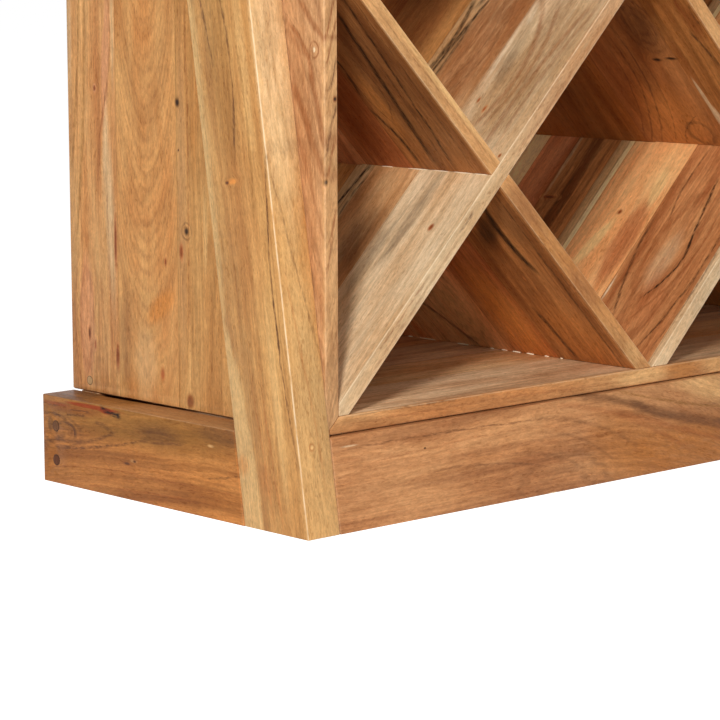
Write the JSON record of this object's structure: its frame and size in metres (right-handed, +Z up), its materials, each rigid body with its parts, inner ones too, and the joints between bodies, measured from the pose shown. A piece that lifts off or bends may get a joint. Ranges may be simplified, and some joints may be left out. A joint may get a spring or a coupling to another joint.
{
  "type": "wine cabinet",
  "caption": "Open wooden wine cabinet: a mitred case with a diamond lattice for laid bottles, on a plinth between leaning side posts, under a plain top board.",
  "frame": {"origin": "on the floor, under the middle of the cabinet's box", "axes": "+Z up, -Y out of the open front, +X to the right as seen from the front"},
  "size_m": [1.094, 0.4438, 1.1093],
  "materials": {
    "case_wood": "edge-glued hardwood staves, honey to chestnut, satin lacquer",
    "lattice_wood": "edge-glued hardwood staves, pale to dark, satin lacquer",
    "post_wood": "solid hardwood, honey with pale sapwood, satin lacquer",
    "plinth_wood": "solid hardwood, reddish brown, satin lacquer",
    "hidden_wood": "sawn hardwood, unfinished",
    "top_wood": "edge-glued hardwood staves, satin lacquer",
    "back_wood": "thin hardwood boards, satin lacquer",
    "plug_wood": "hardwood plugs, sanded flush",
    "dowel_wood": "beech dowels, unfinished",
    "screw_steel": "zinc-plated steel"
  },
  "bodies": {
    "root": {"side_panel_left": "case_wood", "side_panel_right": "case_wood", "case_floor": "case_wood", "case_top": "case_wood", "lattice_rising_long": "lattice_wood", "lattice_falling_long": "lattice_wood", "lattice_falling_lower_left": "lattice_wood", "lattice_falling_upper_right": "lattice_wood", "lattice_rising_upper_left": "lattice_wood", "lattice_rising_lower_right": "lattice_wood", "post_left": "post_wood", "post_right": "post_wood", "plinth_front": "plinth_wood", "plinth_left": "plinth_wood", "plinth_right": "plinth_wood", "plinth_rear_rail": "hidden_wood", "plinth_cleat_left": "hidden_wood", "plinth_cleat_right": "hidden_wood", "plinth_bearer": "hidden_wood", "top_board": "top_wood", "back_panel": "back_wood", "mitre_plug_lower_front_left": "plug_wood", "mitre_plug_lower_front_right": "plug_wood", "mitre_plug_lower_back_left": "plug_wood", "mitre_plug_lower_back_right": "plug_wood", "mitre_plug_upper_front_left": "plug_wood", "mitre_plug_upper_front_right": "plug_wood", "mitre_plug_upper_back_left": "plug_wood", "mitre_plug_upper_back_right": "plug_wood", "plinth_plug_low_left": "plug_wood", "plinth_plug_low_right": "plug_wood", "plinth_plug_high_left": "plug_wood", "plinth_plug_high_right": "plug_wood", "dowel_front_left": "dowel_wood", "dowel_front_right": "dowel_wood", "dowel_side_left": "dowel_wood", "dowel_side_right": "dowel_wood", "mitre_screw_lower_front_left": "screw_steel", "mitre_screw_lower_front_right": "screw_steel", "mitre_screw_lower_back_left": "screw_steel", "mitre_screw_lower_back_right": "screw_steel", "mitre_screw_upper_front_left": "screw_steel", "mitre_screw_upper_front_right": "screw_steel", "mitre_screw_upper_back_left": "screw_steel", "mitre_screw_upper_back_right": "screw_steel", "plinth_screw_low_left": "screw_steel", "plinth_screw_low_right": "screw_steel", "plinth_screw_high_left": "screw_steel", "plinth_screw_high_right": "screw_steel", "post_screw_lower_left": "screw_steel", "post_screw_lower_right": "screw_steel", "post_screw_upper_left": "screw_steel", "post_screw_upper_right": "screw_steel", "top_screw_front_left": "screw_steel", "top_screw_front_right": "screw_steel", "top_screw_back_left": "screw_steel", "top_screw_back_right": "screw_steel"}
  },
  "joints": []
}
